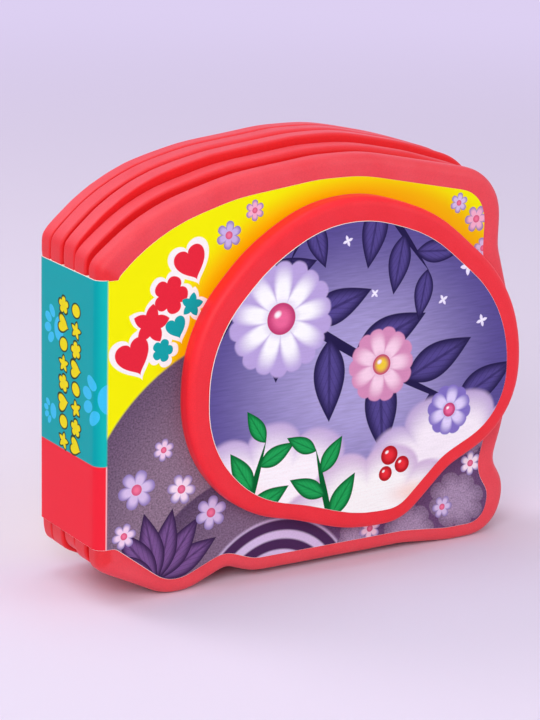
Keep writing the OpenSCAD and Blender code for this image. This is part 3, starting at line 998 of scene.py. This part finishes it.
def branchLayers(rim, core):  # a slanting branch with leaves along both its sides
    middleX, middleZ, length, slant = padLook["branch"]
    layers = [motif("leaf", middleX, middleZ, length, 1.1, rim, rim, slant, Bend=-3.0, Soft=0.1)]
    a = radians(slant)
    for i in range(padLook["branchLeaves"]):
        share = -0.92 + 0.18 * i
        along, across = length * share, 3.3 * share * share
        x, z = middleX + along * cos(a) - across * sin(a), middleZ + along * sin(a) + across * cos(a)
        turn = slant + (52 if i % 2 else -56) + 8 * share
        long = 10.4 - 2.6 * abs(share - 0.1)
        b = radians(turn)
        layers.append(motif("leaf", x + long * cos(b), z + long * sin(b), long, long * 0.42, rim, core,
                            turn, Band=0.35, Soft=0.35, Grain=0.25))
    return layers


def daisy(x, z, size, petal, shade, eye, count, turn):
    return [
        motif("bloom", x, z, size * 1.03, size * 1.03, shade, shade, turn + 180 / count, Count=count,
              Depth=0.5),
        motif("bloom", x, z, size, size, shade, petal, turn, Count=count, Depth=0.45, Band=0.22,
              Soft=0.22),
        motif("spot", x, z, size * 0.42, size * 0.42, shade, petal, Strength=0.6, Edge=0.5),
        motif("spot", x, z, size * 0.28, size * 0.28, "#C23A6E", eye, Band=0.35, Soft=0.35),
        motif("spot", x - size * 0.07, z + size * 0.08, size * 0.1, size * 0.08, "#FFD2E0", "#FFFFFF", 30,
              Edge=0.6),
    ]


def padLayers():
    indigo, green = padLook["indigo"], padLook["green"]
    layers = branchLayers(*indigo)
    layers += sprig(64.0, 88.0, -52, 27.0, 5, 7.2, *indigo)  # twigs that hang from the top
    layers += sprig(53.0, 90.0, -118, 20.0, 4, 6.2, *indigo)
    hills = (
        (88.0, 15.0, 27.0, 24.0, "#BFA8D4", "#FBF2F8", 10, 11, 0.12),
        (41.0, 11.0, 30.0, 27.0, "#C4ACD8", "#FFF8FA", 0, 12, 0.11),
        (67.0, 5.0, 28.0, 24.0, "#D2B6D8", "#FFFCF8", 5, 10, 0.12))
    for x, z, long, wide, rim, core, turn, count, depth in hills:
        layers.append(motif("bloom", x, z, long, wide, rim, core, turn, Count=count, Depth=depth,
                            Edge=0.06, Band=0.17, Soft=0.17, Grain=0.15))
    layers += [
        motif("spot", 34.0, 20.0, 9.0, 5.0, "#F7B9BE", "#F9B9B4", Edge=1.0, Strength=0.6),
        motif("spot", 78.0, 16.0, 9.0, 4.0, "#F9C0BE", "#FAC3B0", Edge=1.0, Strength=0.55),
    ]
    layers += sprig(33.0, 13.0, 74, 22.0, 4, 5.6, *green)
    layers += sprig(57.0, 9.0, 104, 22.0, 4, 5.4, *green)
    layers += daisy(42.0, 60.5, 13.0, "#FFFFFF", "#BBA6DC", "#F06A9A", 9, 8)
    layers += daisy(68.5, 47.0, 8.6, "#FBD6E8", "#D88FB8", "#F7D23C", 7, 0)
    layers += daisy(87.5, 34.0, 6.0, "#E4D8FA", "#8472C2", "#F06A9A", 6, 20)
    for x, z, size, turn in ((91.0, 67.0, 2.2, 0), (84.5, 60.0, 1.4, 30), (87.0, 74.0, 1.2, 10),
                             (66.0, 63.5, 1.2, 40), (95.5, 54.0, 1.6, 15), (58.5, 76.0, 1.4, 20)):
        layers.append(motif("star", x, z, size, size, "#E9E0FA", "#FFFFFF", turn, Count=4, Depth=0.72))
    for x, z, size in ((71.5, 25.5, 2.3), (75.0, 22.9, 2.0), (70.6, 21.3, 1.8)):  # berries
        layers += [
            motif("spot", x, z, size, size, "#B0101C", "#F0303A", Band=0.4, Soft=0.4),
            motif("spot", x - 0.3 * size, z + 0.35 * size, 0.3 * size, 0.22 * size, "#FFD6D6",
                  "#FFFFFF", 30, Edge=0.6),
        ]
    return layers


def padMaterial():
    material, tree, place, grain = printBase("soft-touch laminated pad print")
    far = farFrom(tree, place, padLook["skyCentre"], padLook["skyReach"])
    rim = addNode(tree, "MapRange", (far, *padLook["skyFade"]), interpolation_type="SMOOTHSTEP")
    middle, edge = (colour(tone) for tone in padLook["sky"])
    ink = addNode(tree, "Mix", {0: rim, 6: middle, 7: edge}, data_type="RGBA").outputs[2]
    ink = brushed(tree, place, ink, *padLook["skyStrokes"])
    ink = paintMotifs(tree, ink, place, grain, padLayers())
    finishPrint(tree, place, brushed(tree, place, ink, *padLook["lastStrokes"]))
    return material


coverPrint = wrapMaterial()
pagePrint = pageMaterial()
padPrint = padMaterial()
paper = paperCore()
report("print materials made")


# The wrap in three parts that meet at the gutters' inner sides; only the spine's part is attached, to the
# block

def wrapSection(far):  # (distance from the spine face, distance from the cover's face, unrolled place)
    radius = sheets["wrapRadius"] * mm
    section = [(radius * (1 - sin(a)), radius * (1 - cos(a)), radius * (1 - a))
               for a in np.linspace(0, pi / 2, sheets["cornerSteps"] + 1)]
    near = far - abs(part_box("first_page_sheet")[0].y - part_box("front_lining_sheet")[1].y)
    depths = [(radius + near) / 2] + list(np.linspace(near, far, sheets["gutterSteps"] + 1))
    return section + [(0, depth, arcSaving - depth) for depth in depths], near


def addWrap():
    blockFront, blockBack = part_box("spine_wrap_sheet")[0].y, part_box("spine_wrap_sheet")[1].y
    sides = (
        ("cover_print_front", "front_wrap_sheet", -1, frontFace, blockFront - frontFace,
         "front_cover", "block"),
        ("cover_print_back", "back_wrap_sheet", 1, backFace, backFace - blockBack, "block", "back_cover"),
    )
    for name, node, side, face, far, first, second in sides:
        section, near = wrapSection(far)
        if side > 0:
            section = [(x, d, -wrapLength - u) for x, d, u in section]
        placed = [(x - halfWidth, face - side * d, u) for x, d, u in section]
        path, depth = facePath(node, side)
        path = openPath(path)
        across, down = (reach * mm for reach in sheets["reliefReach"])
        atRelief = (path[:, 0] < across - halfWidth) & (path[:, 1] > wrapTop - down)
        path[atRelief, 1] = np.maximum(path[atRelief, 1], wrapTop - sheets["relief"] * mm)

        def unroll(x, side=side):
            return x + halfWidth if side < 0 else -wrapLength - x - halfWidth

        piece = bentSheet(name, placed, spineRows, [(path, depth, unroll, 0)], Vector((0, side, 0)),
                          [coverPrint, paper], inkedAbove=sheets["inkedAbove"])
        fold = [face - side * near, face - side * far]
        if side > 0:
            fold.reverse()
        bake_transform(piece)
        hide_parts(node)
    depths = np.linspace(blockFront, blockBack, sheets["spineColumns"])
    section = [(-halfWidth, y, arcSaving - (y - frontFace)) for y in depths]
    piece = bentSheet("cover_print_spine", section, spineRows, [], Vector((-1, 0, 0)),
                      [coverPrint, paper])
    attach(piece, "block")
    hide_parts("spine_wrap_sheet")
    report("wrap folded round the spine")


addWrap()


# Spreads: one folded sheet across each gutter, and one between each two inner leaves

def addSpread(name, near, far, depths, foldX):
    section = [(foldX, y, y - depths[0]) for y in np.linspace(*depths, sheets["gutterSteps"] + 1)]
    faces = []
    for node, side, depth, column in ((near, 1, depths[0], 0), (far, -1, depths[1], -1)):
        path, _ = facePath(node, side)
        sign = -1 if column == 0 else 1
        faces.append((openPath(path), depth, lambda x, s=sign: s * (x - foldX), column))
    piece = bentSheet(name, section, spineRows, faces, Vector((0, 1, 0)), [pagePrint, paper])
    return piece


def addSpreads():
    paperThick = sheets["thickness"] * mm
    foldX = -halfWidth + 2 * paperThick
    gutters = (
        ("first_spread", "front_lining_sheet", "first_page_sheet", "front_cover", "block"),
        ("last_spread", "last_page_sheet", "back_lining_sheet", "block", "back_cover"),
    )
    for name, near, far, first, second in gutters:
        depths = (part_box(near)[1].y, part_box(far)[0].y)
        piece = addSpread(name, near, far, depths, foldX)
        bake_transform(piece)
        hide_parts(near, far)
    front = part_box("page_block")[0].y
    for i in (1, 2):  # glued shut between two inner leaves
        middle = front + i * foam["thickness"] * mm + (2 * i - 1) * paperThick
        piece = addSpread("inner_spread_%d" % i, "last_page_sheet", "first_page_sheet",
                          (middle - sheets["slit"] * mm, middle + sheets["slit"] * mm), foldX)
        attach(piece, "block")
        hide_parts("page_block")
    report("spreads folded")


addSpreads()


def addPadSheet():
    path, depth = facePath("pad_sheet", -1)
    outline = evenOutline(path, sheets["step"] * mm, sheets["soften"])
    points = [(x, depth, z) for x, z in outline]
    mesh = bpy.data.meshes.new("pad_print")
    mesh.from_pydata(points, [], [tuple(range(len(points)))])
    if mesh.polygons[0].normal.y > 0:
        mesh.flip_normals()
    placePrint(mesh, [(x + halfWidth, z) for x, _, z in points])
    piece = thickSheet(addPiece("pad_print", mesh, [padPrint, paper]))
    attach(piece, "front_cover")
    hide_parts("pad_sheet")
    report("pad sheet laid")


addPadSheet()

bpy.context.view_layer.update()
report("sizes written")
